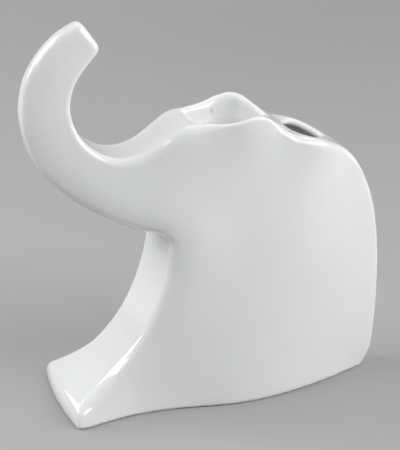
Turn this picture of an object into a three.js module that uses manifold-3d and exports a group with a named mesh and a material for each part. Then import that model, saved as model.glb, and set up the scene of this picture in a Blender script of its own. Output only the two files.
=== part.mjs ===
import * as THREE from 'three';
import { LoftGeometry } from 'three/addons/geometries/LoftGeometry.js';
import { mergeVertices } from 'three/addons/utils/BufferGeometryUtils.js';
import Module from 'manifold-3d';

// Elephant-shaped porcelain vase, in millimetres. +Z is up, the raised trunk points along -X,
// and the vase is symmetric about the plane Y = 0. It stands on the ground rim of its foot at Z = 0.
// A slip-cast body open at the top and the bottom, a hollow trunk luted to it, and a luted base plate.

const wall = 4; // cast wall thickness
const gap = 0.3; // kept between neighbouring pieces

// Each rib runs from the front edge (trunk outside, chest, foot) to the back edge (trunk inside,
// head, mouths, rump): front x, z, half width, then back x, z, half width.
const ribs = [
  [-74.2, 235.6, 6.0, -62.8, 219.0, 6.2],
  [-87.6, 228.3, 6.2, -72.1, 209.5, 7.2],
  [-98.7, 217.6, 6.5, -79.1, 200.0, 8.2],
  [-106.8, 203.6, 6.9, -82.4, 188.0, 9.4],
  [-110.3, 184.5, 7.4, -81.3, 178.4, 10.8],
  [-107.8, 166.6, 8.2, -77.4, 169.5, 12.4],
  [-101.5, 151.2, 9.6, -70.0, 161.9, 14.0],
  [-91.2, 139.1, 11.6, -61.0, 156.8, 15.2],
  [-77.2, 127.8, 14.0, -51.6, 155.4, 16.2],
  [-61.2, 118.2, 17.2, -42.4, 157.2, 17.4],
  [-45.2, 111.3, 21.0, -33.2, 162.0, 18.8],
  [-34.4, 108.9, 24.6, -25.0, 167.6, 20.4],
  [-29.4, 104.6, 27.0, -17.3, 171.6, 21.4],
  [-29.4, 97.0, 27.2, -6.1, 172.5, 20.7],
  [-30.8, 88.2, 27.2, 6.0, 172.9, 24.0],
  [-32.6, 80.3, 27.2, 15.0, 174.8, 26.8],
  [-34.4, 73.9, 27.2, 23.0, 176.3, 26.0],
  [-36.7, 67.4, 26.9, 30.0, 174.7, 25.0],
  [-39.3, 61.1, 26.6, 36.0, 170.3, 24.0],
  [-42.3, 55.0, 26.3, 42.0, 165.4, 23.4],
  [-45.6, 48.9, 26.2, 49.0, 161.3, 24.0],
  [-49.3, 43.2, 26.2, 57.0, 159.1, 25.0],
  [-53.8, 37.6, 26.4, 66.0, 156.1, 23.4],
  [-58.9, 32.2, 26.9, 76.0, 151.0, 16.6],
  [-64.8, 26.8, 27.9, 86.0, 144.4, 10.6],
  [-71.0, 22.0, 29.0, 93.6, 136.1, 9.3],
  [-77.8, 17.6, 30.8, 100.8, 121.7, 9.0],
  [-84.6, 13.3, 33.6, 105.6, 105.7, 9.0],
  [-89.0, 9.9, 36.6, 108.6, 83.0, 9.0],
  [-90.3, 6.4, 38.6, 109.4, 55.0, 9.0],
  [-90.4, 3.4, 39.6, 108.0, 26.0, 9.0],
  [-90.4, 1.4, 40.2, 105.7, 10.0, 9.0],
  [-90.3, 0.0, 40.6, 100.4, 0.0, 9.0],
];
const lastRib = ribs.length - 1;
const outerSteps = 2; // sections per rib on the outside
const innerSteps = 1; // sections per rib on the inside
const jointRib = 12; // the trunk is luted to the body along this rib
const hollowRib = 4.4; // nearer the trunk's end the walls meet and it is solid

// Half widths away from the edges: x, z, half width.
const flanks = [
  [-78, 0, 37.9],
  [-66, 0, 34.3],
  [-50, 0, 31.5],
  [-33, 0, 31.5],
  [-14, 0, 33.5],
  [8, 0, 36.3],
  [32, 0, 34.1],
  [55, 0, 28.1],
  [79, 0, 18.9],
  [20, 85, 31],
  [60, 80, 27],
  [88, 80, 17.5],
];
const pinch = { x: 39.5, z: 169, depth: 1.6, length: 5, height: 4 }; // between the two mouths

// Edge rounding: rib, radius on the front edge, radius on the back edge.
const edgeRadii = [
  [0, 2.8, 2.8],
  [4, 3.2, 3.4],
  [8, 4.4, 4.5],
  [11, 5.0, 6.5],
  [12, 4.6, 6.5],
  [13, 4.5, 4.6],
  [14, 4.5, 1.4],
  [15, 4.5, 1.0],
  [17, 4.5, 1.0],
  [18, 4.5, 1.6],
  [19, 4.5, 2.6],
  [20, 4.5, 3.6],
  [22, 4.8, 4.5],
  [24, 6.0, 3.2],
  [26, 5.0, 2.9],
  [28, 3.0, 2.5],
  [32, 2.5, 2.5],
];
const tipRadius = 3.5; // rounding of the trunk's cut end
const tipShare = 0.75; // how much of it draws the sides in
const footCrown = 3; // how far the foot's front bulges in the middle
const footBevel = 0.8; // eased edge all round the foot

// Crest of each mouth's rim in plan, from its front end to its back end: x, half width, rim radius.
const frontMouth = [
  [-12.8, 0.0, 1.3],
  [-12.7, 7.0, 1.3],
  [-11.8, 11.8, 1.4],
  [-8.2, 15.6, 1.8],
  [-2.0, 18.6, 2.4],
  [4.0, 21.6, 2.9],
  [9.5, 24.2, 3.0],
  [15.0, 25.4, 3.0],
  [22.0, 24.8, 3.0],
  [28.0, 21.8, 2.8],
  [33.0, 15.4, 2.5],
  [37.6, 8.6, 2.4],
  [40.4, 3.2, 2.4],
  [41.0, 0.0, 2.4],
];
const backMouth = [
  [47.6, 0.0, 2.4],
  [48.4, 6.0, 2.4],
  [50.8, 12.4, 2.6],
  [54.0, 16.4, 2.6],
  [57.8, 18.4, 2.6],
  [62.4, 17.6, 2.6],
  [68.0, 13.2, 2.6],
  [73.2, 6.4, 2.4],
  [75.2, 0.0, 2.4],
];
const crownRibs = { from: 24, to: 30 }; // where that bulge comes in
const mouthDepth = 7; // how far each mouth's cutter runs on below its rim
const mouthRise = 6; // and above it
const cavityRadius = 1.5; // least rounding inside
const plate = { low: 2.4, high: 6.4 }; // base plate, set up inside the foot
const plateInset = wall + 2 * gap;
const bead = { high: 3, wide: 3, top: 0.6 }; // slip bead that lutes the plate in
const jointHalf = 0.06; // half of the trunk's slip joint, in ribs
const jointSide = 0.1; // from the joint's middle to each neighbour's end, in ribs

const glaze = { color: 0xe4e5e2, roughness: 0.12, metalness: 0 };
const slip = { color: 0xdcd9d0, roughness: 0.7, metalness: 0 };
const bisque = { color: 0xd9d5ca, roughness: 0.75, metalness: 0 };

const wasm = await Module();
wasm.setup();

const frontEdge = new THREE.CatmullRomCurve3(ribs.map((r) => new THREE.Vector3(r[0], 0, r[1])));
const backEdge = new THREE.CatmullRomCurve3(ribs.map((r) => new THREE.Vector3(r[3], 0, r[4])));

// Thin-plate surface through every stated half width.
function plateBend(dx, dz) {
  const squared = dx * dx + dz * dz;
  return squared > 0 ? squared * Math.log(squared) : 0;
}

function solveLinear(rows) {
  const n = rows.length;
  for (let i = 0; i < n; i++) {
    let best = i;
    for (let j = i + 1; j < n; j++) {
      if (Math.abs(rows[j][i]) > Math.abs(rows[best][i])) best = j;
    }
    [rows[i], rows[best]] = [rows[best], rows[i]];
    for (let j = 0; j < n; j++) {
      if (j === i) continue;
      const factor = rows[j][i] / rows[i][i];
      for (let k = i; k <= n; k++) rows[j][k] -= factor * rows[i][k];
    }
  }
  return rows.map((row, i) => row[n] / row[i]);
}

const stations = [
  ...ribs.map((r) => [r[0], r[1], r[2]]),
  ...ribs.map((r) => [r[3], r[4], r[5]]),
  ...flanks,
];
const give = 40; // lets the surface pass smoothly beside the stated values
const plateRows = stations.map(([x, z, half], i) => [
  ...stations.map(([sx, sz], j) => plateBend(x - sx, z - sz) + (i === j ? give : 0)),
  1, x, z, half,
]);
plateRows.push([...stations.map(() => 1), 0, 0, 0, 0]);
plateRows.push([...stations.map((s) => s[0]), 0, 0, 0, 0]);
plateRows.push([...stations.map((s) => s[1]), 0, 0, 0, 0]);
const plateWeights = solveLinear(plateRows);

function halfWidth(x, z) {
  const n = stations.length;
  let half = plateWeights[n] + plateWeights[n + 1] * x + plateWeights[n + 2] * z;
  stations.forEach(([sx, sz], i) => {
    half += plateWeights[i] * plateBend(x - sx, z - sz);
  });
  const along = (x - pinch.x) / pinch.length;
  const down = (z - pinch.z) / pinch.height;
  return half - pinch.depth * Math.exp(-along * along - down * down);
}

// Linear reading of a table whose first column rises.
function reading(table, at, column) {
  let i = 1;
  while (i < table.length - 1 && table[i][0] < at) i++;
  const [a, b] = [table[i - 1], table[i]];
  return THREE.MathUtils.mapLinear(THREE.MathUtils.clamp(at, a[0], b[0]), a[0], b[0], a[column], b[column]);
}

// Closed ring between a place on the front edge and a place on the back edge, both in ribs.
// It lies inside the outer surface by inset, and its four corners are rounded.
function ring(frontRib, backRib, inset = 0) {
  const sidePoints = 9;
  const cornerPoints = 4;
  const stripPoints = 3;
  const front = frontEdge.getPoint(frontRib / lastRib);
  const back = backEdge.getPoint(backRib / lastRib);
  const across = back.clone().sub(front).normalize();
  const slantOf = (edge, rib) => {
    const run = edge.getTangent(rib / lastRib);
    return Math.max(0.35, Math.abs(run.x * across.z - run.z * across.x));
  };
  const frontSlant = slantOf(frontEdge, frontRib);
  const backSlant = slantOf(backEdge, backRib);
  front.addScaledVector(across, inset / frontSlant);
  back.addScaledVector(across, -inset / backSlant);
  const length = front.distanceTo(back);
  const soften = (radius) => (inset > wall / 2 ? Math.max(0, radius - wall) + cavityRadius : radius);
  const frontRadius = soften(reading(edgeRadii, frontRib, 1));
  const backRadius = soften(reading(edgeRadii, backRib, 2));
  const crown = footCrown * THREE.MathUtils.smoothstep(frontRib, crownRibs.from, crownRibs.to);
  const place = (distance, drop) => {
    const p = front.clone().addScaledVector(across, distance);
    p.y = halfWidth(p.x, p.z) - inset - drop;
    return p;
  };
  const near = [];
  for (let i = 0; i <= cornerPoints; i++) {
    const turn = (i / cornerPoints) * (Math.PI / 2);
    const along = (frontRadius * (1 - Math.cos(turn))) / frontSlant;
    near.push(place(along, frontRadius * (1 - Math.sin(turn))));
  }
  const sideStart = frontRadius / frontSlant;
  const sideEnd = length - backRadius / backSlant;
  for (let i = 1; i < sidePoints; i++) {
    near.push(place(THREE.MathUtils.lerp(sideStart, sideEnd, i / sidePoints), 0));
  }
  for (let i = 0; i <= cornerPoints; i++) {
    const turn = (1 - i / cornerPoints) * (Math.PI / 2);
    const along = (backRadius * (1 - Math.cos(turn))) / backSlant;
    near.push(place(length - along, backRadius * (1 - Math.sin(turn))));
  }
  const mirrored = near.map((p) => new THREE.Vector3(p.x, -p.y, p.z)).reverse();
  const strip = (a, b, bulge) => {
    const points = [];
    for (let i = 1; i <= stripPoints; i++) {
      const share = i / (stripPoints + 1);
      const p = a.clone().lerp(b, share);
      p.addScaledVector(across, -bulge * (1 - (2 * share - 1) ** 2));
      points.push(p);
    }
    return points;
  };
  const top = near[near.length - 1];
  return [
    ...near,
    ...strip(top, mirrored[0], 0),
    ...mirrored,
    ...strip(mirrored[mirrored.length - 1], near[0], crown),
  ];
}

function toSolid(geometry) {
  const bare = new THREE.BufferGeometry();
  bare.setAttribute('position', geometry.attributes.position);
  bare.setIndex(geometry.index);
  const merged = mergeVertices(bare, 1e-4);
  const vertProperties = new Float32Array(merged.attributes.position.array);
  const triVerts = new Uint32Array(merged.index.array);
  return new wasm.Manifold(new wasm.Mesh({ numProp: 3, vertProperties, triVerts }));
}

function loft(rings) {
  const centre = (points) => {
    const sum = points.reduce((total, p) => total.add(p), new THREE.Vector3());
    return sum.divideScalar(points.length);
  };
  const start = centre(rings[0]);
  const end = centre(rings[rings.length - 1]);
  const turning = new THREE.Vector3();
  rings[0].forEach((p, i) => {
    const q = rings[0][(i + 1) % rings[0].length];
    turning.add(p.clone().sub(start).cross(q.clone().sub(start)));
  });
  const next = centre(rings[1]).sub(start);
  const backward = turning.dot(next.lengthSq() > 0 ? next : end.sub(start)) < 0;
  const ordered = backward ? rings.map((r) => [...r].reverse()) : rings;
  return toSolid(new LoftGeometry(ordered, { closed: true, capStart: true, capEnd: true }));
}

function fan(fromRib, toRib, stepsPerRib, inset = 0) {
  const rings = [];
  const count = Math.ceil((toRib - fromRib) * stepsPerRib);
  for (let i = 0; i <= count; i++) {
    const rib = THREE.MathUtils.lerp(fromRib, toRib, i / count);
    rings.push(ring(rib, rib, inset));
  }
  return rings;
}

function addMesh(group, name, solid, look) {
  const mesh = solid.getMesh();
  const geometry = new THREE.BufferGeometry();
  geometry.setAttribute('position', new THREE.BufferAttribute(new Float32Array(mesh.vertProperties), 3));
  geometry.setIndex(new THREE.BufferAttribute(new Uint32Array(mesh.triVerts), 1));
  geometry.computeVertexNormals();
  const piece = new THREE.Mesh(geometry, new THREE.MeshStandardMaterial(look));
  piece.name = name;
  group.add(piece);
}

// The trunk's outside: its cut end is rounded by shrinking the first rings.
function trunkOutside() {
  const rings = [];
  const perRib = frontEdge.getPoint(0).distanceTo(frontEdge.getPoint(1 / lastRib));
  const tipSteps = 4;
  for (let i = 0; i < tipSteps; i++) {
    const turn = (i / tipSteps) * (Math.PI / 2);
    const depth = tipRadius * (1 - Math.cos(turn));
    const shrink = tipRadius * (1 - Math.sin(turn));
    rings.push(ring(depth / perRib, depth / perRib, shrink * tipShare));
  }
  return loft([...rings, ...fan(tipRadius / perRib, jointRib - jointSide, outerSteps)]);
}

function bodyOutside() {
  const rings = fan(jointRib + jointSide, lastRib - 1, outerSteps);
  rings.push(ring(lastRib - 0.8, lastRib - 0.4)); // both places are just above the foot's bevel
  return loft([...rings, levelRing(footBevel, 0), levelRing(0, footBevel)]);
}

// One hollow through trunk, joint and body, open below.
function hollow() {
  const rings = fan(hollowRib, lastRib, innerSteps, wall);
  const last = rings[rings.length - 1];
  rings.push(last.map((p) => new THREE.Vector3(p.x, p.y, p.z - wall)));
  return loft(rings);
}

// Height of the back edge above a place on the head.
function crestHeight(x) {
  let low = jointRib / lastRib;
  let high = 25 / lastRib;
  for (let i = 0; i < 40; i++) {
    const middle = (low + high) / 2;
    if (backEdge.getPoint(middle).x < x) low = middle;
    else high = middle;
  }
  return backEdge.getPoint(low).z;
}

// Cutter for a mouth: rings that follow the crest's height and turn in over the rim's radius.
function mouth(rim) {
  const pointsRound = 36;
  const half = rim.map(([x, y, r]) => new THREE.Vector3(x, y, r));
  const back = half.slice(1, -1).reverse().map((p) => new THREE.Vector3(p.x, -p.y, p.z));
  const outline = new THREE.CatmullRomCurve3([...half, ...back], true);
  const level = (turnIn, depth, rise = 0) => {
    const points = [];
    for (let i = 0; i < pointsRound; i++) {
      const p = outline.getPointAt(i / pointsRound);
      const run = outline.getTangentAt(i / pointsRound);
      const length = Math.hypot(run.x, run.y);
      const x = p.x + (run.y / length) * p.z * turnIn;
      const y = p.y - (run.x / length) * p.z * turnIn;
      points.push(new THREE.Vector3(x, y, crestHeight(p.x) - depth * p.z - rise));
    }
    return points;
  };
  const rings = [level(0, 0, -mouthRise), level(0, 0)];
  for (const turn of [30, 60, 90]) {
    const angle = THREE.MathUtils.degToRad(turn);
    rings.push(level(Math.sin(angle), 1 - Math.cos(angle)));
  }
  rings.push(level(1, 1, mouthDepth));
  return loft(rings);
}

// Rib at which an edge is at a height near the foot.
function ribAtHeight(edge, z) {
  let high = 28 / lastRib;
  let low = 1;
  for (let i = 0; i < 40; i++) {
    const middle = (low + high) / 2;
    if (edge.getPoint(middle).z > z) high = middle;
    else low = middle;
  }
  return low * lastRib;
}

function levelRing(z, inset) {
  const slice = ring(ribAtHeight(frontEdge, z), ribAtHeight(backEdge, z), inset);
  return slice.map((p) => new THREE.Vector3(p.x, p.y, z));
}

function basePlate() {
  return loft([levelRing(plate.low, plateInset), levelRing(plate.high, plateInset)]);
}

// Three-sided in section: wide on the plate, narrow at its top against the foot's wall.
function baseBead() {
  const low = plate.high + gap;
  const high = low + bead.high;
  const slope = (bead.wide - bead.top) / bead.high;
  const outer = loft([levelRing(low, plateInset), levelRing(high, plateInset)]);
  const inner = loft([
    levelRing(low - 1, plateInset + bead.wide + slope),
    levelRing(high + 0.2, plateInset + bead.top - 0.2 * slope),
  ]);
  return outer.subtract(inner);
}

const vase = new THREE.Group();
const inside = hollow();
const body = bodyOutside().subtract(inside).subtract(mouth(frontMouth)).subtract(mouth(backMouth));
addMesh(vase, 'body_shell', body, glaze);
addMesh(vase, 'trunk', trunkOutside().subtract(inside), glaze);
const jointRing = loft(fan(jointRib - jointHalf, jointRib + jointHalf, outerSteps, 0.15)).subtract(inside);
addMesh(vase, 'trunk_slip_joint', jointRing, slip);
addMesh(vase, 'base_plate', basePlate(), bisque);
addMesh(vase, 'base_slip_joint', baseBead(), slip);

export default vase;
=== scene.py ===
import math

import bpy
import numpy as np
from mathutils import Matrix, Vector


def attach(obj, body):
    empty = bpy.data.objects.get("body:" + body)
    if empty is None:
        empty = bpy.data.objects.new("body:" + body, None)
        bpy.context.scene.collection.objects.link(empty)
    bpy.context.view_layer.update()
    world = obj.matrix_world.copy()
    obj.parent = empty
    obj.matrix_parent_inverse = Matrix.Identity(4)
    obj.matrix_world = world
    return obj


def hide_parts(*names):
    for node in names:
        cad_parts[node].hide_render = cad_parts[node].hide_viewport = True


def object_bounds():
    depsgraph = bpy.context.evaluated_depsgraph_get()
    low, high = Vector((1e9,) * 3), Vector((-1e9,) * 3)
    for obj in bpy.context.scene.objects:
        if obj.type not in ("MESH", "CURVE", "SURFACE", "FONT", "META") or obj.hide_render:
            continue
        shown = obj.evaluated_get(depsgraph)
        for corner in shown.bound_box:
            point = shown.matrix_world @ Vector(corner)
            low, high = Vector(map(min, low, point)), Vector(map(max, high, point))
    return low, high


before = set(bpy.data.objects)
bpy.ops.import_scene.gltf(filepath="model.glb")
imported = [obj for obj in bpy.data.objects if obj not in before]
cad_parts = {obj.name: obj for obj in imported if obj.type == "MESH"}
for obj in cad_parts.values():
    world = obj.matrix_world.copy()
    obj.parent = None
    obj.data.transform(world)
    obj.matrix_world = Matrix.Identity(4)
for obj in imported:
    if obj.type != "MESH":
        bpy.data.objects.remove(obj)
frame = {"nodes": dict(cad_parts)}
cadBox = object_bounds()
print("frame loaded:", ", ".join(frame["nodes"]))

mm = 0.001
tiny = 1e-12

# The vase faces -X, stands on Z = 0 and is symmetric about Y = 0. Shape values are in millimetres.
vase = {
    "wall": 4.0,
    "meshStep": 1.395,        # spacing of the finished mesh
    "relaxRounds": 5,
    "innerRadius": 2.5,       # soft corners of the hollow
    "hollowStartRib": 4.4,    # nearer the tip the cast walls meet
    "trunkOnly": -60.0,       # X in front of which that applies
    "mouthsAbove": 60.0,      # Z that parts the mouths from the ground rim
    "hollowBlend": 1.5,       # mouths run into the hollow over this
    "groundRimRadius": 0.9,
    "footBevel": 0.8,
    "tipRadius": 3.8,         # corners of the trunk's cut end, seen from the side
    "endRadius": 4.6,         # rounding between that end and the trunk's sides
    "footCrown": 3.0,         # the foot's front bulges this far in the middle
    "crownRibs": (24, 30),    # where that bulge comes in
    "footRib": 28,            # from here down both edges only fall
    "belowGround": 12,        # the outline runs on below the ground, which cuts it off
    "give": 40.0,             # lets the sides pass smoothly beside the stated half widths
    # one row a rib, from the trunk's tip to the foot: front x, z, half width, back x, z, half width
    "ribs": [
        (-74.2, 235.6, 6.0, -62.8, 219.0, 6.2),
        (-87.6, 228.3, 6.2, -72.1, 209.5, 7.2),
        (-98.7, 217.6, 6.5, -79.1, 200.0, 8.2),
        (-106.8, 203.6, 6.9, -82.4, 188.0, 9.4),
        (-110.3, 184.5, 7.4, -81.3, 178.4, 10.8),
        (-107.8, 166.6, 8.2, -77.4, 169.5, 12.4),
        (-101.5, 151.2, 9.6, -70.0, 161.9, 14.0),
        (-91.2, 139.1, 11.6, -61.0, 156.8, 15.2),
        (-77.2, 127.8, 14.0, -51.6, 155.4, 16.2),
        (-61.2, 118.2, 17.2, -42.4, 157.2, 17.4),
        (-45.2, 111.3, 21.0, -33.2, 162.0, 18.8),
        (-34.4, 108.9, 24.6, -25.0, 167.6, 20.4),
        (-29.4, 104.6, 27.0, -17.3, 171.6, 21.4),
        (-29.4, 97.0, 27.2, -6.1, 172.5, 20.7),
        (-30.8, 88.2, 27.2, 6.0, 172.9, 24.0),
        (-32.6, 80.3, 27.2, 15.0, 174.8, 26.8),
        (-34.4, 73.9, 27.2, 23.0, 176.3, 26.0),
        (-36.7, 67.4, 26.9, 30.0, 174.7, 25.0),
        (-39.3, 61.1, 26.6, 36.0, 170.3, 24.0),
        (-42.3, 55.0, 26.3, 42.0, 165.4, 23.4),
        (-45.6, 48.9, 26.2, 49.0, 161.3, 24.0),
        (-49.3, 43.2, 26.2, 57.0, 159.1, 25.0),
        (-53.8, 37.6, 26.4, 66.0, 156.1, 23.4),
        (-58.9, 32.2, 26.9, 76.0, 151.0, 16.6),
        (-64.8, 26.8, 27.9, 86.0, 144.4, 10.6),
        (-71.0, 22.0, 29.0, 93.6, 136.1, 9.3),
        (-77.8, 17.6, 30.8, 100.8, 121.7, 9.0),
        (-84.6, 13.3, 33.6, 105.6, 105.7, 9.0),
        (-89.0, 9.9, 36.6, 108.6, 83.0, 9.0),
        (-90.3, 6.4, 38.6, 109.4, 55.0, 9.0),
        (-90.4, 3.4, 39.6, 108.0, 26.0, 9.0),
        (-90.4, 1.4, 40.2, 105.7, 10.0, 9.0),
        (-90.3, 0.0, 40.6, 100.4, 0.0, 9.0),
    ],
    # the sides curve away towards the front edge: rib, depth
    "sideRoll": [(0, 1.8), (2, 3.2), (17, 3.2), (21, 2.0), (24, 0.6), (27, 0)],
    "rollReach": 14.0,        # and this far in from it
    "rollHeld": 3.0,          # where the stated half width still holds
    # x, z, half width away from the edges
    "flanks": [
        (-78, 0, 37.9), (-66, 0, 34.3), (-50, 0, 31.5), (-33, 0, 31.5), (-14, 0, 33.5), (8, 0, 36.3),
        (32, 0, 34.1), (55, 0, 28.1), (79, 0, 18.9), (20, 85, 31), (60, 80, 27), (88, 80, 17.5),
    ],
    # the waist between the mouths
    "pinch": {"x": 39.5, "z": 169.0, "depth": 1.6, "length": 5.0, "height": 4.0},
    # rib, edge radius at the front, edge radius at the back
    "edgeRadii": [
        (0, 2.8, 2.8), (4, 3.2, 3.4), (8, 4.4, 4.5), (11, 5.0, 6.5), (12, 4.6, 6.5), (13, 4.5, 4.6),
        (14, 4.5, 1.4), (15, 4.5, 1.0), (17, 4.5, 1.0), (18, 4.5, 1.6), (19, 4.5, 2.6), (20, 4.5, 3.6),
        (21, 4.5, 4.5), (22, 5.2, 4.5), (24, 7.6, 3.2), (26, 5.6, 2.9), (28, 3.0, 2.5), (32, 2.5, 2.5),
    ],
}

mouths = {
    "depth": 7.0,
    "crestRibs": (11, 25),    # the back edge carries the mouths between these ribs
    "draw": 0.2,              # the front mouth narrows this much with depth
    "neckDepths": (20, 40),   # its neck opens into the hollow between these depths
    "neckEnds": (-16, 40),    # and past these X values
    "neckOpensOver": 8,
    "neckOpensBy": 45,
    # crest of each rim in plan: x, half width, rim radius
    "front": [
        (-12.8, 0.0, 1.3), (-12.7, 7.0, 1.3), (-11.8, 11.8, 1.4), (-8.2, 15.6, 1.8), (-2.0, 18.6, 2.4),
        (4.0, 21.6, 2.9), (9.5, 24.2, 3.0), (15.0, 25.4, 3.0), (22.0, 24.8, 3.0), (28.0, 21.8, 2.8),
        (33.0, 15.4, 2.5), (37.6, 8.6, 2.4), (40.4, 3.2, 2.4), (41.0, 0.0, 2.4),
    ],
    "back": [
        (47.6, 0.0, 2.4), (48.4, 6.0, 2.4), (50.8, 12.4, 2.6), (54.0, 16.4, 2.6), (57.8, 18.4, 2.6),
        (62.4, 17.6, 2.6), (68.0, 13.2, 2.6), (73.2, 6.4, 2.4), (75.2, 0.0, 2.4),
    ],
}


def catmullRom(points, perSpan, closed=False):
    # centripetal spline through every point
    pts = np.array(points, float)
    if closed:
        p0, p1 = np.roll(pts, 1, axis=0), pts
        p2, p3 = np.roll(pts, -1, axis=0), np.roll(pts, -2, axis=0)
    else:
        ends = np.vstack([2 * pts[0] - pts[1], pts, 2 * pts[-1] - pts[-2]])
        p0, p1, p2, p3 = ends[:-3], ends[1:-2], ends[2:-1], ends[3:]
    spans = ((p0, p1), (p1, p2), (p2, p3))
    d0, d1, d2 = (np.linalg.norm(b - a, axis=1, keepdims=True) ** 0.5 for a, b in spans)
    out1 = ((p1 - p0) / d0 - (p2 - p0) / (d0 + d1) + (p2 - p1) / d1) * d1
    out2 = ((p2 - p1) / d1 - (p3 - p1) / (d1 + d2) + (p3 - p2) / d2) * d1
    s = np.linspace(0, 1, perSpan, endpoint=False)[None, :, None]
    c2 = (-3 * p1 + 3 * p2 - 2 * out1 - out2)[:, None]
    c3 = (2 * p1 - 2 * p2 + out1 + out2)[:, None]
    curve = (p1[:, None] + out1[:, None] * s + c2 * s * s + c3 * s ** 3).reshape(-1, pts.shape[1])
    return curve if closed else np.vstack([curve, pts[-1]])


ribTable = np.array(vase["ribs"])
radiusTable = np.array(vase["edgeRadii"])
lastRib = len(ribTable) - 1
pointsPerRib = 8
frontEdge = catmullRom(ribTable[:, 0:2], pointsPerRib)
backEdge = catmullRom(ribTable[:, 3:5], pointsPerRib)
ribAlong = np.linspace(0, lastRib, len(frontEdge))


def smoothstep(value, low, high):
    t = np.clip((value - low) / (high - low), 0, 1)
    return t * t * (3 - 2 * t)


def onEdge(edge, rib):
    return np.array([np.interp(rib, ribAlong, edge[:, 0]), np.interp(rib, ribAlong, edge[:, 1])])


def plateBend(dx, dz):
    squared = dx * dx + dz * dz
    return squared * np.log(np.maximum(squared, tiny))


def makeHalfWidth():
    # thin-plate surface through the stated half widths
    stations = np.vstack([ribTable[:, 0:3], ribTable[:, 3:6], np.array(vase["flanks"], float)])
    n = len(stations)
    x, z, half = stations.T
    system = np.zeros((n + 3, n + 3))
    system[:n, :n] = plateBend(x[:, None] - x, z[:, None] - z) + vase["give"] * np.eye(n)
    system[:n, n:] = np.stack([np.ones(n), x, z], axis=1)
    system[n:, :n] = system[:n, n:].T
    weights = np.linalg.solve(system, np.append(half, [0, 0, 0]))
    pinch = vase["pinch"]

    def halfWidth(px, pz):
        px, pz = np.asarray(px, float), np.asarray(pz, float)
        total = weights[n] + weights[n + 1] * px + weights[n + 2] * pz
        for sx, sz, weight in zip(x, z, weights):
            total = total + weight * plateBend(px - sx, pz - sz)
        along = (px - pinch["x"]) / pinch["length"]
        down = (pz - pinch["z"]) / pinch["height"]
        return total - pinch["depth"] * np.exp(-along ** 2 - down ** 2)

    return halfWidth


halfWidth = makeHalfWidth()


def sideOutline():
    # closed outline in X and Z, with the edge radius and the foot's crown at each point
    reach = vase["tipRadius"]
    cornerPoints = 10
    frontColumns = np.column_stack([
        frontEdge,
        np.interp(ribAlong, radiusTable[:, 0], radiusTable[:, 1]),
        smoothstep(ribAlong, *vase["crownRibs"]) * vase["footCrown"],
    ])
    backColumns = np.column_stack([
        backEdge,
        np.interp(ribAlong, radiusTable[:, 0], radiusTable[:, 2]),
        np.zeros(len(backEdge)),
    ])

    def corner(edge, other):
        # the cut end meets the edge in a soft corner
        start = edge[0, :2]
        away = np.linalg.norm(edge[:, :2] - start, axis=1)
        kept = edge[away > reach]
        onSide = kept[0, :2]
        across = other - start
        onEnd = start + across / np.linalg.norm(across) * reach
        t = np.linspace(0, 1, cornerPoints)[:, None]
        arc = (1 - t) ** 2 * onEnd + 2 * t * (1 - t) * start + t ** 2 * onSide
        radius = (1 - t) * vase["endRadius"] + t * edge[0, 2]
        return np.vstack([np.column_stack([arc, radius, 0 * t]), kept])

    front = corner(frontColumns, backEdge[0])
    back = corner(backColumns, frontEdge[0])
    down = np.array([0, vase["belowGround"], 0, 0])
    return np.vstack([front, front[-1] - down, back[-1] - down, back[::-1]])


def signedDistance(px, pz, loop):
    # negative inside the loop; also the loop's further columns at the nearest place
    a, b = loop, np.roll(loop, -1, axis=0)
    ab = b[:, :2] - a[:, :2]
    lengthSquared = np.maximum((ab ** 2).sum(1), tiny)
    rise = np.where(np.abs(ab[:, 1]) < tiny, tiny, ab[:, 1])
    rowsAtOnce = 4000
    shape = px.shape
    px, pz = px.ravel(), pz.ravel()
    distance = np.empty(len(px))
    extra = np.empty((len(px), loop.shape[1] - 2))
    for start in range(0, len(px), rowsAtOnce):
        rows = slice(start, start + rowsAtOnce)
        dx = px[rows, None] - a[:, 0]
        dz = pz[rows, None] - a[:, 1]
        t = np.clip((dx * ab[:, 0] + dz * ab[:, 1]) / lengthSquared, 0, 1)
        squared = (dx - t * ab[:, 0]) ** 2 + (dz - t * ab[:, 1]) ** 2
        nearest = squared.argmin(1)
        every = np.arange(len(nearest))
        straddles = (a[:, 1] > pz[rows, None]) != (b[:, 1] > pz[rows, None])
        crosses = straddles & (dx < ab[:, 0] * dz / rise)
        sign = np.where(crosses.sum(1) % 2 == 1, -1.0, 1.0)
        distance[rows] = sign * np.sqrt(squared[every, nearest])
        share = t[every, nearest][:, None]
        extra[rows] = a[nearest, 2:] * (1 - share) + b[nearest, 2:] * share
    return [distance.reshape(shape)] + [column.reshape(shape) for column in extra.T]


sheets = {
    "step": 0.8,
    "side": ((-120, -14), (120, 246)),   # lowest and highest X and Z
    "plan": ((-30, -40), (90, 40)),      # lowest and highest X and Y
}


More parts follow.
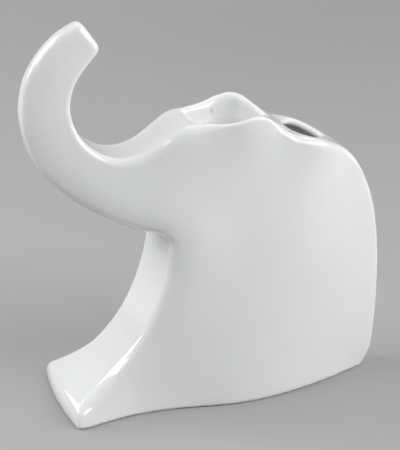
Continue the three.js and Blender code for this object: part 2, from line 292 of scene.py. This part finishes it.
class Sheet:
    # values on a plane grid, read back with a smooth cubic between the grid's points
    def __init__(self, corners, makeValues):
        low, high = np.array(corners, float)
        step = sheets["step"]
        self.low = low
        self.count = np.ceil((high - low) / step).astype(int) + 1
        first = low[0] + step * np.arange(self.count[0])
        second = low[1] + step * np.arange(self.count[1])
        self.values = np.array(makeValues(*np.meshgrid(first, second, indexing="ij")))

    def read(self, first, second):
        first, second = np.broadcast_arrays(first, second)
        u = np.clip((first - self.low[0]) / sheets["step"], 1, self.count[0] - 2.001)
        v = np.clip((second - self.low[1]) / sheets["step"], 1, self.count[1] - 2.001)
        i, j = u.astype(int), v.astype(int)
        weightsU, weightsV = self.weights(u - i), self.weights(v - j)
        total = 0
        for di, wu in enumerate(weightsU):
            for dj, wv in enumerate(weightsV):
                total = total + self.values[:, i + di - 1, j + dj - 1] * (wu * wv)
        return total

    @staticmethod
    def weights(t):
        return (
            ((-t + 2) * t - 1) * t / 2,
            ((3 * t - 5) * t * t + 2) / 2,
            ((-3 * t + 4) * t + 1) * t / 2,
            (t - 1) * t * t / 2,
        )


def mouthLoop(rim):
    half = np.array(rim, float)
    back = half[1:-1][::-1] * np.array([1, -1, 1])
    return catmullRom(np.vstack([half, back]), pointsPerRib, closed=True)


def rolledHalfWidth(x, z):
    # half width with the sides rolled in towards the front edge
    roll = np.array(vase["sideRoll"], float)
    reach, held = vase["rollReach"], vase["rollHeld"]
    far = 400
    edge = np.column_stack([frontEdge, np.interp(ribAlong, roll[:, 0], roll[:, 1])])
    around = [(edge[-1, 0], -far, 0), (-far, -far, 0), (-far, far, 0), (edge[0, 0], far, 0)]
    distance, depth = signedDistance(x, z, np.vstack([edge, around]))
    kept = (1 - held / reach) ** 2 * (1 - smoothstep(distance, reach, 3 * reach))
    return halfWidth(x, z) + depth * (kept - np.maximum(1 - np.abs(distance) / reach, 0) ** 2)


def makeField():
    # how far each place lies outside the porcelain; negative within it
    outline = sideOutline()
    frontMouth, backMouth = mouthLoop(mouths["front"]), mouthLoop(mouths["back"])

    def sideValues(x, z):
        return [rolledHalfWidth(x, z), *signedDistance(x, z, outline)]

    def planValues(x, y):
        return [*signedDistance(x, y, frontMouth), *signedDistance(x, y, backMouth)]

    sideSheet = Sheet(sheets["side"], sideValues)
    planSheet = Sheet(sheets["plan"], planValues)
    crestFirst, crestLast = mouths["crestRibs"]
    crestX, crestZ = backEdge[crestFirst * pointsPerRib:crestLast * pointsPerRib].T
    hollowFront = onEdge(frontEdge, vase["hollowStartRib"])
    hollowBack = onEdge(backEdge, vase["hollowStartRib"])
    across = (hollowBack - hollowFront) / np.linalg.norm(hollowBack - hollowFront)
    towardsTip = np.array([-across[1], across[0]])
    if towardsTip @ (frontEdge[0] - hollowFront) < 0:
        towardsTip = -towardsTip
    wall, soft = vase["wall"], vase["innerRadius"]
    neckFirst, neckLast = mouths["neckEnds"]
    opensOver = mouths["neckOpensOver"]

    def roundedMax(a, b, radius):
        beyondBoth = np.hypot(np.maximum(a + radius, 0), np.maximum(b + radius, 0))
        return np.minimum(np.maximum(a, b), -radius) + beyondBoth

    def smoothMin(a, b, blend):
        share = np.maximum(blend - np.abs(a - b), 0) / blend
        return np.minimum(a, b) - share * share * blend / 4

    def slab(half, edge, radius, crown, y):
        # a slab of varying half width whose edges are rounded
        flat = np.clip(1 - (y / np.maximum(half, 1)) ** 2, 0, 1)
        side = np.abs(y) - half + radius
        rim = edge + radius - crown * flat
        beyondBoth = np.hypot(np.maximum(side, 0), np.maximum(rim, 0))
        return beyondBoth + np.minimum(np.maximum(side, rim), 0) - radius

    def field(x, y, z):
        half, edge, radius, crown = sideSheet.read(x, z)
        frontIn, frontRim, backIn, backRim = planSheet.read(x, y)
        outer = roundedMax(slab(half, edge, radius, crown, y), -z, vase["footBevel"])
        hollow = slab(half - wall, edge + wall, soft, crown, y)
        beyond = (x - hollowFront[0]) * towardsTip[0] + (z - hollowFront[1]) * towardsTip[1]
        beyond = np.minimum(beyond, vase["trunkOnly"] - x)
        hollow = roundedMax(hollow, beyond, soft)
        belowCrest = np.interp(x, crestX, crestZ) - z
        frontWall = frontIn + frontRim + mouths["draw"] * np.maximum(belowCrest, 0)
        backWall = backIn + backRim
        opened = smoothstep(belowCrest, *mouths["neckDepths"])
        opened = opened + smoothstep(neckFirst - x, 0, opensOver)
        opened = opened + smoothstep(x - neckLast, 0, opensOver)
        neck = np.minimum(frontWall, backWall) - mouths["neckOpensBy"] * opened
        hollow = roundedMax(hollow, neck, soft)
        floor = belowCrest - mouths["depth"]
        front = np.maximum(frontWall, floor - frontRim)
        back = np.maximum(backWall, floor - backRim)
        hollow = smoothMin(hollow, np.minimum(front, back), vase["hollowBlend"])
        rimRadius = np.where(frontIn < backIn, frontRim, backRim)
        rimRadius = np.where(z > vase["mouthsAbove"], rimRadius, vase["groundRimRadius"])
        return roundedMax(outer, -hollow, rimRadius)

    return field


def surfaceNet(field, low, high, step):
    # quads between the grid's cells that the surface passes through
    spare = 2
    axes = []
    for lo, hi in zip(low, high):
        axes.append(np.arange(math.floor(lo / step) - spare, math.ceil(hi / step) + spare + 1) * step)
    halfCount = math.ceil(high[1] / step) + spare + 0.5       # Y = 0 lies midway, so both sides match
    axes[1] = np.arange(-halfCount, halfCount + 0.5) * step
    x, y, z = axes[0][:, None, None], axes[1][None, :, None], axes[2][None, None, :]
    values = field(x, y, z)
    inside = values < 0
    cells = tuple(n - 1 for n in values.shape)
    place = np.zeros(cells + (3,))
    crossings = np.zeros(cells)
    corners = [(i, j, k) for i in (0, 1) for j in (0, 1) for k in (0, 1)]

    def at(array, corner):
        return array[tuple(slice(c, c + n) for c, n in zip(corner, cells))]

    for a in corners:
        for axis in range(3):
            if a[axis]:
                continue
            b = tuple(c + (n == axis) for n, c in enumerate(a))
            crossed = at(inside, a) != at(inside, b)
            va, vb = at(values, a), at(values, b)
            t = np.where(crossed, va / np.where(crossed, va - vb, 1), 0)
            for n in range(3):
                along = t if n == axis else 0
                place[..., n] += crossed * (a[n] + along)
            crossings += crossed
    active = crossings > 0
    number = np.full(cells, -1)
    number[active] = np.arange(active.sum())
    index = np.argwhere(active)
    points = (index + place[active] / crossings[active][:, None]) * step
    points += np.array([axis[0] for axis in axes])
    quads = []
    for axis in range(3):
        second, third = (axis + 1) % 3, (axis + 2) % 3
        here = [slice(None)] * 3
        there = [slice(None)] * 3
        here[axis], there[axis] = slice(0, -1), slice(1, None)
        leaves = inside[tuple(here)] & ~inside[tuple(there)]
        enters = ~inside[tuple(here)] & inside[tuple(there)]
        for crossed, flip in ((leaves, False), (enters, True)):
            cell = np.argwhere(crossed)
            ring = []
            for ds, dt in ((-1, -1), (0, -1), (0, 0), (-1, 0)):
                c = cell.copy()
                c[:, second] += ds
                c[:, third] += dt
                ring.append(number[tuple(c.T)])
            ring = np.stack(ring, axis=1)
            quads.append(ring[:, ::-1] if flip else ring)
    return points, np.vstack(quads)


def fieldGradient(field, points):
    probe = 0.05
    rises = []
    for unit in np.eye(3) * probe:
        rises.append(field(*(points + unit).T) - field(*(points - unit).T))
    return np.stack(rises, axis=1) / (2 * probe)


def settle(field, points, quads, rounds):
    # even spacing along the surface, with every point on it, and how hollow it is there
    pairs = np.vstack([quads[:, [0, 1]], quads[:, [1, 2]], quads[:, [2, 3]], quads[:, [3, 0]]])
    first, second = pairs.T
    n = len(points)
    degree = np.bincount(first, minlength=n) + np.bincount(second, minlength=n)
    easing, furthest, blurRounds = 0.6, 1, 4

    def neighbourMean(values):
        total = np.bincount(first, values[second], n) + np.bincount(second, values[first], n)
        return total / degree

    for turn in range(rounds + 1):
        gradient = fieldGradient(field, points)
        size = np.maximum((gradient ** 2).sum(1), 1e-6)
        shift = np.clip(field(*points.T) / size, -furthest, furthest)
        points = points - gradient * shift[:, None]
        if turn < rounds:
            mean = np.stack([neighbourMean(points[:, k]) for k in range(3)], axis=1)
            normal = gradient / np.sqrt(size)[:, None]
            move = (mean - points) * easing
            points = points + move - normal * (move * normal).sum(1)[:, None]
    gradient = fieldGradient(field, points)
    normal = gradient / np.linalg.norm(gradient, axis=1)[:, None]
    mean = np.stack([neighbourMean(points[:, k]) for k in range(3)], axis=1)
    hollowness = ((mean - points) * normal).sum(1)
    for _ in range(blurRounds):
        hollowness = neighbourMean(hollowness)
    return points, hollowness


def newMesh(name, points, faces):
    mesh = bpy.data.meshes.new(name)
    mesh.from_pydata([tuple(p) for p in points], [], [tuple(int(i) for i in f) for f in faces])
    mesh.update()
    mesh.polygons.foreach_set("use_smooth", [True] * len(mesh.polygons))
    obj = bpy.data.objects.new(name, mesh)
    bpy.context.scene.collection.objects.link(obj)
    return obj


def makeSkin(field):
    low, high = np.array(cadBox[0]) / mm, np.array(cadBox[1]) / mm
    points, quads = surfaceNet(field, low, high, vase["meshStep"])
    points, hollowness = settle(field, points, quads, vase["relaxRounds"])
    points = np.clip(points, low, high)
    skin = newMesh("glazed_porcelain", points * mm, quads)
    pool = skin.data.attributes.new("pool", "FLOAT", "POINT")
    pool.data.foreach_set("value", (hollowness / vase["meshStep"]).astype(np.float32))
    print("glazed porcelain:", len(points), "points,", len(quads), "quads")
    return skin


skin = makeSkin(makeField())


basePlate = {
    "low": 2.4,
    "high": 6.4,
    "clearance": 0.6,         # to the cast wall
    "cornerRadius": 2.0,
    "easedEdge": 0.7,
    "bow": 0.25,
    "rowsAcross": 14,
    "sharpAngle": 50,
}


def ribAtHeight(edge, height):
    foot = slice(vase["footRib"] * pointsPerRib, None)
    return np.interp(-height, -edge[foot, 1], ribAlong[foot])


def crossOutline(front, back, radius, inset, sidePoints=60, cornerPoints=6):
    # near half of a rounded slice between two places on the edges: X, Y and Z for positive Y
    along = (back - front) / np.linalg.norm(back - front)
    front, back = front + along * inset, back - along * inset
    length = np.linalg.norm(back - front)
    corner = []
    for turn in np.linspace(0, math.pi / 2, cornerPoints):
        corner.append((radius * (1 - math.cos(turn)), radius * (1 - math.sin(turn))))
    side = [(s, 0) for s in np.linspace(radius, length - radius, sidePoints)[1:-1]]
    rows = np.array(corner + side + [(length - s, drop) for s, drop in reversed(corner)])
    places = front + rows[:, :1] * along
    y = halfWidth(places[:, 0], places[:, 1]) - inset - rows[:, 1]
    return np.column_stack([places[:, 0], y, places[:, 1]])


def levelOutline(height, inset):
    front = onEdge(frontEdge, ribAtHeight(frontEdge, height))
    back = onEdge(backEdge, ribAtHeight(backEdge, height))
    half = crossOutline(front, back, basePlate["cornerRadius"], inset)
    half[:, 2] = height
    return half


def makeBasePlate():
    # a cast slab with eased edges, its faces a little bowed
    inset = vase["wall"] + basePlate["clearance"]
    eased, across = basePlate["easedEdge"], basePlate["rowsAcross"]
    middle = (basePlate["low"] + basePlate["high"]) / 2
    half = levelOutline(middle, inset)
    shares = np.linspace(-1, 1, across)
    lengthwise = np.sin(np.linspace(0, math.pi, len(half)))

    def face(height, drawIn, bow):
        drawn = levelOutline(middle, inset + drawIn)
        rows = []
        for (x, y, _), lift in zip(drawn, lengthwise):
            rows.append([(x, y * s, height + bow * lift * (1 - s * s)) for s in shares])
        return np.array(rows)

    layers = [
        face(basePlate["low"], eased, basePlate["bow"]),
        face(basePlate["low"] + eased, 0, 0),
        face(basePlate["high"] - eased, 0, 0),
        face(basePlate["high"], eased, -basePlate["bow"]),
    ]
    rows, columns = layers[0].shape[:2]
    rim = [(i, 0) for i in range(rows)] + [(rows - 1, j) for j in range(1, columns)]
    rim += [(i, columns - 1) for i in range(rows - 2, -1, -1)] + [(0, j) for j in range(columns - 2, 0, -1)]
    points, faces = [], []
    lower = {(i, j): i * columns + j for i in range(rows) for j in range(columns)}
    points += list(layers[0].reshape(-1, 3))
    rings = [[lower[c] for c in rim]]
    for layer in layers[1:3]:
        rings.append([len(points) + n for n in range(len(rim))])
        points += [layer[c] for c in rim]
    upper = {key: len(points) + n for key, n in lower.items()}
    points += list(layers[3].reshape(-1, 3))
    rings.append([upper[c] for c in rim])
    for i in range(rows - 1):
        for j in range(columns - 1):
            ring = [(i, j), (i + 1, j), (i + 1, j + 1), (i, j + 1)]
            faces.append([lower[c] for c in ring])
            faces.append([upper[c] for c in reversed(ring)])
    for a, b in zip(rings, rings[1:]):
        for n in range(len(rim)):
            m = (n + 1) % len(rim)
            faces.append([a[m], a[n], b[n], b[m]])
    plate = newMesh("base_plate_bisque", np.array(points) * mm, faces)
    plate.data.set_sharp_from_angle(angle=math.radians(basePlate["sharpAngle"]))
    turnFacesOut(plate)
    return plate


def turnFacesOut(obj):
    bpy.context.view_layer.objects.active = obj
    obj.select_set(True)
    bpy.ops.object.mode_set(mode="EDIT")
    bpy.ops.mesh.select_all(action="SELECT")
    bpy.ops.mesh.normals_make_consistent(inside=False)
    bpy.ops.object.mode_set(mode="OBJECT")
    obj.select_set(False)


plate = makeBasePlate()

slipBeads = {
    "baseRadius": 1.35,
    "baseHeight": 8.2,
    "baseGap": 0.75,          # to the cast wall
    "baseSeed": 4,
    "trunkRadius": 1.1,
    "trunkGap": 0.2,
    "trunkSeed": 9,
    "jointRib": 12,           # where the trunk was luted on
    "jointCorner": 3.0,
    "wobble": 0.16,
    "wobbleScale": 90.0,
    "sides": 14,
}


def slipBeadTree():
    # a rope of slip laid along a closed path and left a little uneven
    tree = bpy.data.node_groups.new("slipBead", "GeometryNodeTree")
    sockets = tree.interface
    sockets.new_socket("Geometry", in_out="INPUT", socket_type="NodeSocketGeometry")
    sizes = {"Bead Radius": 0.0013, "Wobble": 0.0001, "Wobble Scale": 90.0, "Step": 0.0008}
    for name, value in sizes.items():
        socket = sockets.new_socket(name, in_out="INPUT", socket_type="NodeSocketFloat")
        socket.default_value = value
    sockets.new_socket("Seed", in_out="INPUT", socket_type="NodeSocketInt").default_value = 1
    sockets.new_socket("Material", in_out="INPUT", socket_type="NodeSocketMaterial")
    sockets.new_socket("Geometry", in_out="OUTPUT", socket_type="NodeSocketGeometry")
    nodes, links = tree.nodes, tree.links
    given = nodes.new("NodeGroupInput")
    result = nodes.new("NodeGroupOutput")
    toCurve = nodes.new("GeometryNodeMeshToCurve")
    resample = nodes.new("GeometryNodeResampleCurve")
    resample.mode = "LENGTH"
    noise = nodes.new("ShaderNodeTexNoise")
    noise.noise_dimensions = "4D"
    noise.inputs["Detail"].default_value = 2
    centred = nodes.new("ShaderNodeVectorMath")
    centred.operation = "SUBTRACT"
    centred.inputs[1].default_value = (0.5, 0.5, 0.5)
    scaled = nodes.new("ShaderNodeVectorMath")
    scaled.operation = "SCALE"
    move = nodes.new("GeometryNodeSetPosition")
    profile = nodes.new("GeometryNodeCurvePrimitiveCircle")
    profile.inputs["Resolution"].default_value = slipBeads["sides"]
    sweep = nodes.new("GeometryNodeCurveToMesh")
    smooth = nodes.new("GeometryNodeSetShadeSmooth")
    realize = nodes.new("GeometryNodeRealizeInstances")
    finish = nodes.new("GeometryNodeSetMaterial")
    links.new(given.outputs["Geometry"], toCurve.inputs["Mesh"])
    links.new(toCurve.outputs["Curve"], resample.inputs["Curve"])
    links.new(given.outputs["Step"], resample.inputs["Length"])
    links.new(given.outputs["Wobble Scale"], noise.inputs["Scale"])
    links.new(given.outputs["Seed"], noise.inputs["W"])
    links.new(noise.outputs["Color"], centred.inputs[0])
    links.new(centred.outputs["Vector"], scaled.inputs[0])
    links.new(given.outputs["Wobble"], scaled.inputs["Scale"])
    links.new(resample.outputs["Curve"], move.inputs["Geometry"])
    links.new(scaled.outputs["Vector"], move.inputs["Offset"])
    links.new(given.outputs["Bead Radius"], profile.inputs["Radius"])
    links.new(move.outputs["Geometry"], sweep.inputs["Curve"])
    links.new(profile.outputs["Curve"], sweep.inputs["Profile Curve"])
    links.new(sweep.outputs["Mesh"], smooth.inputs["Geometry"])
    links.new(smooth.outputs["Geometry"], realize.inputs["Geometry"])
    links.new(realize.outputs["Geometry"], finish.inputs["Geometry"])
    links.new(given.outputs["Material"], finish.inputs["Material"])
    links.new(finish.outputs["Geometry"], result.inputs["Geometry"])
    return tree


def makeBead(name, loop, radius, tree, material, seed):
    path = bpy.data.meshes.new(name + "_path")
    n = len(loop)
    path.from_pydata([tuple(p) for p in loop * mm], [(i, (i + 1) % n) for i in range(n)], [])
    holder = bpy.data.objects.new(name + "_path", path)
    bpy.context.scene.collection.objects.link(holder)
    modifier = holder.modifiers.new("slipBead", "NODES")
    modifier.node_group = tree
    values = {
        "Bead Radius": radius * mm,
        "Wobble": slipBeads["wobble"] * mm,
        "Wobble Scale": slipBeads["wobbleScale"],
        "Seed": seed,
        "Material": material,
    }
    for item in tree.interface.items_tree:
        if item.item_type == "SOCKET" and item.in_out == "INPUT" and item.name in values:
            modifier[item.identifier] = values[item.name]
    bpy.context.view_layer.update()
    graph = bpy.context.evaluated_depsgraph_get()
    mesh = bpy.data.meshes.new_from_object(holder.evaluated_get(graph))
    mesh.name = name
    bpy.data.objects.remove(holder)
    bead = bpy.data.objects.new(name, mesh)
    bpy.context.scene.collection.objects.link(bead)
    turnFacesOut(bead)
    return bead


def closedLoop(half):
    return np.vstack([half, half[::-1] * np.array([1, -1, 1])])


def setInputs(node, **values):
    for name, value in values.items():
        node.inputs[name].default_value = value


def newMaterial(name):
    material = bpy.data.materials.new(name)
    material.use_nodes = True
    tree = material.node_tree
    tree.nodes.clear()
    surface = tree.nodes.new("ShaderNodeBsdfPrincipled")
    output = tree.nodes.new("ShaderNodeOutputMaterial")
    tree.links.new(surface.outputs["BSDF"], output.inputs["Surface"])
    coordinates = tree.nodes.new("ShaderNodeTexCoord")
    return material, tree, surface, coordinates.outputs["Object"]


def noiseNode(tree, vector, scale, detail=3.0):
    noise = tree.nodes.new("ShaderNodeTexNoise")
    setInputs(noise, Scale=scale, Detail=detail)
    tree.links.new(vector, noise.inputs["Vector"])
    return noise.outputs["Fac"]


def remap(tree, value, given, wanted, smooth=False):
    # takes the first range to the second
    node = tree.nodes.new("ShaderNodeMapRange")
    if smooth:
        node.interpolation_type = "SMOOTHSTEP"
    for socket, number in zip(("From Min", "From Max", "To Min", "To Max"), (*given, *wanted)):
        node.inputs[socket].default_value = number
    tree.links.new(value, node.inputs["Value"])
    return node.outputs["Result"]


def mix(tree, kind, share, first, second):
    node = tree.nodes.new("ShaderNodeMix")
    node.data_type = kind
    socketType = {"RGBA": "RGBA", "FLOAT": "VALUE"}[kind]
    tree.links.new(share, node.inputs["Factor"])
    for name, value in (("A", first), ("B", second)):
        target = [s for s in node.inputs if s.name == name and s.type == socketType][0]
        if isinstance(value, bpy.types.NodeSocket):
            tree.links.new(value, target)
        else:
            target.default_value = (*value, 1) if kind == "RGBA" else value
    return [s for s in node.outputs if s.type == socketType][0]


def addBump(tree, surface, height, distance):
    bump = tree.nodes.new("ShaderNodeBump")
    setInputs(bump, Strength=1.0, Distance=distance)
    tree.links.new(height, bump.inputs["Height"])
    tree.links.new(bump.outputs["Normal"], surface.inputs["Normal"])


glaze = {
    "colour": (0.857, 0.869, 0.858),
    "pooled": (0.79, 0.81, 0.80),        # where it gathers in hollows
    "thin": (0.88, 0.875, 0.855),        # over edges
    "pooledBends": (0.01, 0.12),         # how hollow the surface is there
    "thinBends": (-0.25, -0.04),
    "cloudScale": 22.0,
    "cloudRange": (0.35, 0.65),
    "cloudMost": 0.25,
    "glow": 0.6,                         # light that passes through the porcelain
    "glowReach": 0.003,
    "glowTint": (1.0, 1.0, 0.98),
    "roughness": (0.072, 0.1125),        # varies between these
    "roughnessScale": 120.0,
    "coat": 0.5,
    "coatRoughness": 0.03,
    "refraction": 1.5,
    "waveScale": 70.0,
    "waveHeight": 0.00006,
    "bareClay": (0.72, 0.69, 0.63),
    "bareRoughness": 0.75,
    "bareHeight": 0.0009,                # ground rim left unglazed
    "bareFade": 0.0003,
    "bareWander": 0.0008,
    "bareWanderScale": 300.0,
    "spotAt": (0.0106, 0.0208, 0.1672),  # iron spot on the far wall inside the front mouth
    "spotRadii": (0.00066, 0.0022),      # full strength inside the first, none outside the second
    "spotStrength": 0.55,
    "spotColour": (0.62, 0.47, 0.26),
}
noiseMiddle = (0.3, 0.7)                 # most of a noise lies between these


def glazeMaterial():
    material, tree, surface, place = newMaterial("white_glaze")
    nodes, links = tree.nodes, tree.links
    pool = nodes.new("ShaderNodeAttribute")
    pool.attribute_name = "pool"
    gathered = remap(tree, pool.outputs["Fac"], glaze["pooledBends"], (0, 1), smooth=True)
    thinned = remap(tree, pool.outputs["Fac"], glaze["thinBends"], (1, 0), smooth=True)
    clouds = noiseNode(tree, place, glaze["cloudScale"])
    cloud = remap(tree, clouds, glaze["cloudRange"], (0, glaze["cloudMost"]))
    colour = mix(tree, "RGBA", cloud, glaze["colour"], glaze["pooled"])
    colour = mix(tree, "RGBA", gathered, colour, glaze["pooled"])
    colour = mix(tree, "RGBA", thinned, colour, glaze["thin"])

    away = nodes.new("ShaderNodeVectorMath")
    away.operation = "DISTANCE"
    away.inputs[1].default_value = glaze["spotAt"]
    links.new(place, away.inputs[0])
    spot = remap(tree, away.outputs["Value"], glaze["spotRadii"], (glaze["spotStrength"], 0), smooth=True)
    colour = mix(tree, "RGBA", spot, colour, glaze["spotColour"])

    # the glaze ends in a wandering line just above the ground
    split = nodes.new("ShaderNodeSeparateXYZ")
    links.new(place, split.inputs["Vector"])
    edge = nodes.new("ShaderNodeMath")
    edge.operation = "MULTIPLY_ADD"
    edge.inputs[1].default_value = glaze["bareWander"]
    links.new(noiseNode(tree, place, glaze["bareWanderScale"]), edge.inputs[0])
    links.new(split.outputs["Z"], edge.inputs[2])
    fade = (glaze["bareHeight"], glaze["bareHeight"] + glaze["bareFade"])
    bare = remap(tree, edge.outputs["Value"], fade, (1, 0), smooth=True)
    colour = mix(tree, "RGBA", bare, colour, glaze["bareClay"])
    links.new(colour, surface.inputs["Base Color"])

    uneven = noiseNode(tree, place, glaze["roughnessScale"])
    sheen = remap(tree, uneven, noiseMiddle, glaze["roughness"])
    links.new(mix(tree, "FLOAT", bare, sheen, glaze["bareRoughness"]), surface.inputs["Roughness"])
    links.new(mix(tree, "FLOAT", bare, glaze["coat"], 0.0), surface.inputs["Coat Weight"])
    for socket, value in (
        ("IOR", glaze["refraction"]),
        ("Coat IOR", glaze["refraction"]),
        ("Coat Roughness", glaze["coatRoughness"]),
        ("Subsurface Weight", glaze["glow"]),
        ("Subsurface Radius", glaze["glowTint"]),
        ("Subsurface Scale", glaze["glowReach"]),
    ):
        surface.inputs[socket].default_value = value
    waves = noiseNode(tree, place, glaze["waveScale"], detail=2.0)
    addBump(tree, surface, waves, glaze["waveHeight"])
    return material


bisque = {
    "colour": (0.72, 0.69, 0.63),
    "dark": (0.62, 0.585, 0.52),
    "roughness": (0.663, 0.858),
    "grainHeight": 0.00008,
}
slip = {
    "colour": (0.76, 0.74, 0.69),
    "dark": (0.66, 0.63, 0.57),
    "roughness": (0.4675, 0.605),
    "grainHeight": 0.00012,
}
clay = {
    "mottleScale": 60.0,
    "mottleRange": (0.35, 0.7),
    "mottleMost": 0.7,
    "wearScale": 25.0,
    "grainScale": 900.0,
}


def clayMaterial(name, look):
    material, tree, surface, place = newMaterial(name)
    mottles = noiseNode(tree, place, clay["mottleScale"], detail=5.0)
    mottle = remap(tree, mottles, clay["mottleRange"], (0, clay["mottleMost"]))
    colour = mix(tree, "RGBA", mottle, look["colour"], look["dark"])
    tree.links.new(colour, surface.inputs["Base Color"])
    worn = remap(tree, noiseNode(tree, place, clay["wearScale"]), noiseMiddle, look["roughness"])
    tree.links.new(worn, surface.inputs["Roughness"])
    grain = noiseNode(tree, place, clay["grainScale"], detail=4.0)
    addBump(tree, surface, grain, look["grainHeight"])
    return material


whiteGlaze = glazeMaterial()
bareBisque = clayMaterial("bare_bisque", bisque)
driedSlip = clayMaterial("dried_slip", slip)
skin.data.materials.append(whiteGlaze)
plate.data.materials.append(bareBisque)
print("glaze, bisque and slip mixed")

beadTree = slipBeadTree()
baseInset = vase["wall"] + slipBeads["baseGap"] + slipBeads["baseRadius"]
baseBead = makeBead(
    "base_slip_bead", closedLoop(levelOutline(slipBeads["baseHeight"], baseInset)),
    slipBeads["baseRadius"], beadTree, driedSlip, slipBeads["baseSeed"],
)
jointHalf = crossOutline(
    onEdge(frontEdge, slipBeads["jointRib"]), onEdge(backEdge, slipBeads["jointRib"]),
    slipBeads["jointCorner"], vase["wall"] + slipBeads["trunkGap"], sidePoints=40,
)
trunkBead = makeBead(
    "trunk_slip_bead", closedLoop(jointHalf),
    slipBeads["trunkRadius"], beadTree, whiteGlaze, slipBeads["trunkSeed"],
)
print("base plate and slip beads made")

for piece, slotName, replaced in (
    (skin, "white_glaze", ("body_shell", "trunk")),
    (trunkBead, "white_glaze", ("trunk_slip_joint",)),
    (plate, "bare_bisque", ("base_plate",)),
    (baseBead, "dried_slip", ("base_slip_joint",)),
):
    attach(piece, "root")
    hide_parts(*replaced)

photoView = {
    "azimuth": -18.0,
    "elevation": 21.7,
    "distance": 1.14,
    "target": (-0.0004, 0.00827, 0.1),
    "lens": 152.0,
    "sensor": 36.0,
    "nearest": 0.05,
}

studio = {
    "floorColour": (0.40, 0.40, 0.405),
    "floorShade": 0.96,       # its darker patches against that colour
    "patchScale": 3.0,
    "floorRoughness": 0.85,
    "worldColour": (0.62, 0.64, 0.66),
    "worldStrength": 0.07,
    "floorSize": 6.0,
    "sweepRadius": 1.2,
    "sweepSteps": 16,
    "backAt": 1.9,
    "backHeight": 3.0,
    "lampsFace": (0, 0, 0.11),
}


def makeFloor():
    # a floor that curves up into a backdrop
    half, radius, back = studio["floorSize"] / 2, studio["sweepRadius"], studio["backAt"]
    profile = [(-half, 0.0), (back - radius, 0.0)]
    for turn in np.linspace(0, math.pi / 2, studio["sweepSteps"] + 1)[1:]:
        profile.append((back - radius + radius * math.sin(turn), radius * (1 - math.cos(turn))))
    profile.append((back, studio["backHeight"]))
    points, faces = [], []
    for y, z in profile:
        points += [(-half, y, z), (half, y, z)]
    for i in range(len(profile) - 1):
        faces.append((2 * i, 2 * i + 1, 2 * i + 3, 2 * i + 2))
    floor = newMesh("floor", points, faces)
    material, tree, surface, place = newMaterial("floor_paper")
    shade = remap(tree, noiseNode(tree, place, studio["patchScale"]), noiseMiddle, (0, 1))
    darker = tuple(c * studio["floorShade"] for c in studio["floorColour"])
    paper = mix(tree, "RGBA", shade, studio["floorColour"], darker)
    tree.links.new(paper, surface.inputs["Base Color"])
    surface.inputs["Roughness"].default_value = studio["floorRoughness"]
    floor.data.materials.append(material)
    floor.data.transform(Matrix.Rotation(math.radians(photoView["azimuth"]), 4, "Z"))


def makeCamera():
    data = bpy.data.cameras.new("camera")
    data.sensor_width = photoView["sensor"]
    data.lens = photoView["lens"]
    data.clip_start = photoView["nearest"]
    camera = bpy.data.objects.new("camera", data)
    bpy.context.scene.collection.objects.link(camera)
    a, e = math.radians(photoView["azimuth"]), math.radians(photoView["elevation"])
    back = Vector((math.sin(a) * math.cos(e), -math.cos(a) * math.cos(e), math.sin(e)))
    camera.location = Vector(photoView["target"]) + back * photoView["distance"]
    camera.rotation_euler = back.to_track_quat("Z", "Y").to_euler()
    bpy.context.scene.camera = camera


# direction seen from the vase, distance, size in metres, power in watts, whether the glaze mirrors it
softboxes = {
    "key": ((0.66, -0.56, 0.50), 1.6, (1.05, 0.75), 10.0, True),
    "above": ((0.15, -0.60, 0.79), 1.8, (1.4, 1.0), 9.6, False),
    "front": ((0.60, -0.79, 0.12), 2.2, (1.6, 0.8), 4.4, False),
    "left": ((-0.75, 0.08, 0.65), 1.6, (0.9, 0.6), 8.0, True),
    "leftFill": ((-0.78, -0.16, 0.60), 1.6, (0.9, 0.6), 4.2, False),
    "right": ((0.95, -0.12, 0.28), 2.0, (1.6, 0.9), 12.5, True),
    "behindLeft": ((-0.66, 0.61, 0.42), 1.6, (0.8, 0.8), 12.0, True),
    "behind": ((0.35, 0.45, 0.82), 2.2, (2.0, 2.0), 9.5, True),
}


def makeLights():
    for name, (direction, distance, size, power, mirrored) in softboxes.items():
        data = bpy.data.lights.new(name, "AREA")
        data.shape = "RECTANGLE"
        data.size, data.size_y = size
        data.energy = power
        lamp = bpy.data.objects.new(name, data)
        towards = Vector(direction).normalized()
        lamp.location = Vector(studio["lampsFace"]) + towards * distance
        lamp.rotation_euler = towards.to_track_quat("Z", "Y").to_euler()
        lamp.visible_glossy = mirrored
        bpy.context.scene.collection.objects.link(lamp)
    world = bpy.data.worlds.new("studio")
    world.use_nodes = True
    background = world.node_tree.nodes["Background"]
    background.inputs["Color"].default_value = (*studio["worldColour"], 1)
    background.inputs["Strength"].default_value = studio["worldStrength"]
    bpy.context.scene.world = world


makeFloor()
makeCamera()
makeLights()
print("floor, camera and lamps placed")
bpy.context.scene.view_settings.view_transform = "Standard"
